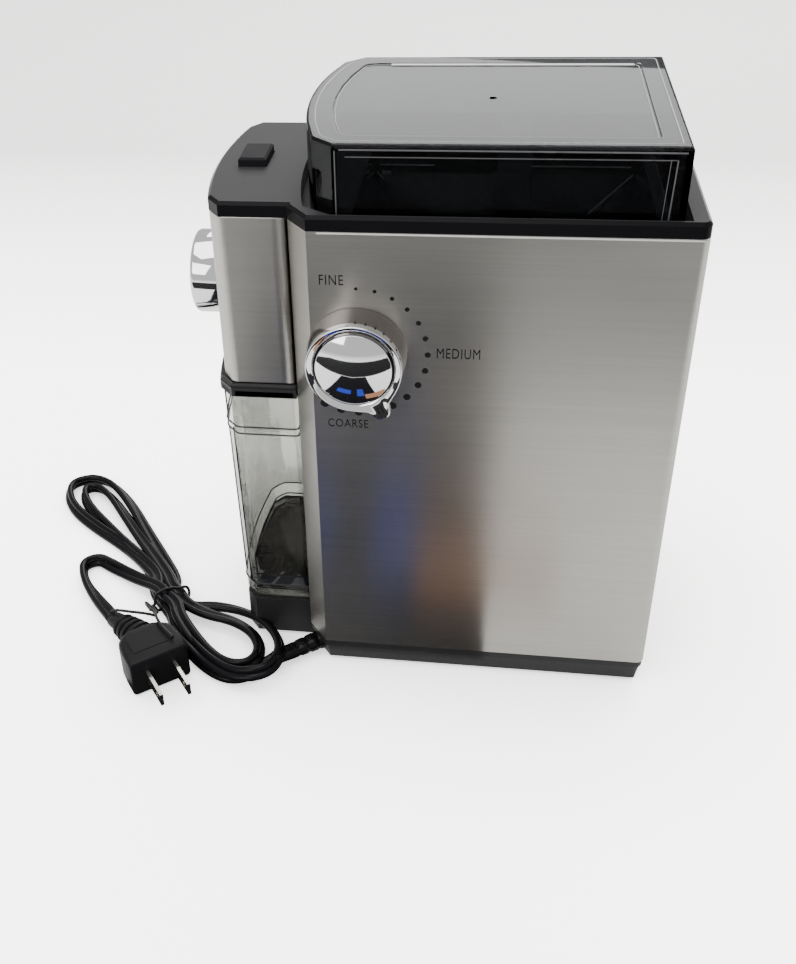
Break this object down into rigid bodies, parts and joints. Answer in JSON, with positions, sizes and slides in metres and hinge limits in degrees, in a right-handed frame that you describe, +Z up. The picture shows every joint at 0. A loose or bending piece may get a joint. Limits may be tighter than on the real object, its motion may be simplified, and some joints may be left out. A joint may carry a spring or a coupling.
{
  "type": "burr coffee grinder",
  "caption": "Electric burr coffee grinder: steel-wrapped body, clear bean lid, side grind dial, front quantity knob, start button, slide-out grounds container and tied mains lead.",
  "frame": {"origin": "centre of the bottom of the grinder's box, mains lead left out, on the plane that its feet stand on", "axes": "+Z up, -Y towards the user (the quantity knob and the grounds container), +X to the side with the grind dial"},
  "size_m": [0.1696, 0.303, 0.2409],
  "materials": {
    "wrap_steel": "brushed, horizontal grain",
    "base_black": "fine satin",
    "cover_black": "fine texture with a gloss edge",
    "inner_black": "moulded",
    "lid_smoke": "clear smoke, polished",
    "container_smoke": "clear smoke, polished",
    "container_lid_black": "satin",
    "chrome": "polished plating",
    "button_black": "satin",
    "foot_rubber": "soft matte",
    "carrier_plastic": "moulded",
    "burr_steel": "ground",
    "shaft_steel": "turned",
    "nylon": "natural nylon",
    "bronze": "sintered",
    "lamination": "varnished",
    "copper": "enamelled wire",
    "insulator": "moulded",
    "carbon": "pressed carbon",
    "board_green": "lacquered",
    "cord_black": "smooth satin",
    "plug_black": "moulded",
    "blade_nickel": "nickel plated",
    "tie_black": "coated wire"
  },
  "bodies": {
    "housing": {"base_tray": "base_black", "bottom_plate": "base_black", "rubber_feet": "foot_rubber", "base_screws": "shaft_steel", "body_wrap_steel": "wrap_steel", "front_wrap_steel": "wrap_steel", "bay_wall": "inner_black", "top_cover": "cover_black", "front_unit_floor": "inner_black", "bean_hopper": "inner_black", "hopper_screws": "shaft_steel", "lower_deck": "inner_black", "upper_deck": "inner_black", "deck_columns": "inner_black", "spindle_bearings": "bronze", "grinding_chamber": "inner_black", "grounds_chute": "inner_black", "dial_bracket": "inner_black", "timer_control": "insulator", "start_switch": "insulator", "control_board": "board_green", "stator_core": "lamination", "field_coils": "copper", "motor_bracket": "shaft_steel", "motor_bearings": "bronze", "brush_holders": "insulator", "carbon_brushes": "carbon", "motor_screws": "shaft_steel", "cord_gland": "cord_black", "power_cord": "cord_black", "cord_hank": "cord_black", "cord_tail": "cord_black", "twist_tie": "tie_black", "plug_body": "plug_black", "plug_blades": "blade_nickel"},
    "lid": {"hopper_lid": "lid_smoke"},
    "button": {"start_button": "button_black"},
    "knob": {"quantity_knob": "chrome", "timer_shaft": "shaft_steel"},
    "dial": {"grind_dial": "chrome", "dial_shaft": "shaft_steel"},
    "rack": {"adjusting_rack": "carrier_plastic"},
    "ring": {"adjusting_ring": "carrier_plastic"},
    "seat": {"burr_seat_ring": "carrier_plastic"},
    "carrier": {"burr_carrier": "carrier_plastic", "upper_burr": "burr_steel", "burr_handle": "carrier_plastic"},
    "spindle": {"lower_burr": "burr_steel", "grounds_impeller": "nylon", "burr_spindle": "shaft_steel", "burr_nut": "shaft_steel", "spindle_gear": "nylon"},
    "rotor": {"armature_core": "lamination", "armature_windings": "copper", "commutator": "copper", "motor_shaft": "shaft_steel", "cooling_fan": "nylon", "motor_pinion": "bronze"},
    "container": {"grounds_container": "container_smoke", "container_lid": "container_lid_black"}
  },
  "joints": [
    {"name": "lid_lift", "type": "slide", "parent": "housing", "child": "lid", "axis": [0, 0, 1], "range_m": [0, 0.08]},
    {"name": "start_button_press", "type": "slide", "parent": "housing", "child": "button", "axis": [0, 0, -1], "range_m": [0, 0.002], "stiffness_N_per_m": 400, "springref_m": -0.001},
    {"name": "knob_turn", "type": "hinge", "parent": "housing", "child": "knob", "pos_m": [-0.0085, -0.09, 0.1671], "axis": [0, -1, 0], "range_deg": [0, 270]},
    {"name": "dial_turn", "type": "hinge", "parent": "housing", "child": "dial", "pos_m": [0.05, -0.02285, 0.162], "axis": [1, 0, 0], "range_deg": [-60, 150]},
    {"name": "rack_slide", "type": "slide", "parent": "housing", "child": "rack", "axis": [0, 1, 0], "range_m": [-0.00472, 0.01179]},
    {"name": "ring_turn", "type": "hinge", "parent": "housing", "child": "ring", "pos_m": [-0.0085, 0.032, 0.17], "axis": [0, 0, 1], "range_deg": [-6.5, 16.2]},
    {"name": "seat_lift", "type": "slide", "parent": "housing", "child": "seat", "axis": [0, 0, 1], "range_m": [-0.00072, 0.00029]},
    {"name": "burr_lift", "type": "slide", "parent": "seat", "child": "carrier", "axis": [0, 0, 1], "range_m": [0, 0.009]},
    {"name": "rotor_spin", "type": "hinge", "parent": "housing", "child": "rotor", "pos_m": [-0.0085, 0.066, 0.06], "axis": [0, 0, 1], "continuous": true},
    {"name": "spindle_spin", "type": "hinge", "parent": "housing", "child": "spindle", "pos_m": [-0.0085, 0.032, 0.13], "axis": [0, 0, 1], "continuous": true},
    {"name": "container_slide", "type": "slide", "parent": "housing", "child": "container", "axis": [0, -1, 0], "range_m": [0, 0.1]}
  ],
  "couplings": [
    {"joint": "rack_slide", "follows": "dial_turn", "m_per_rad": 0.0045},
    {"joint": "ring_turn", "follows": "dial_turn", "ratio": 0.10714},
    {"joint": "seat_lift", "follows": "dial_turn", "m_per_rad": -0.00027},
    {"joint": "spindle_spin", "follows": "rotor_spin", "ratio": -0.21429}
  ]
}
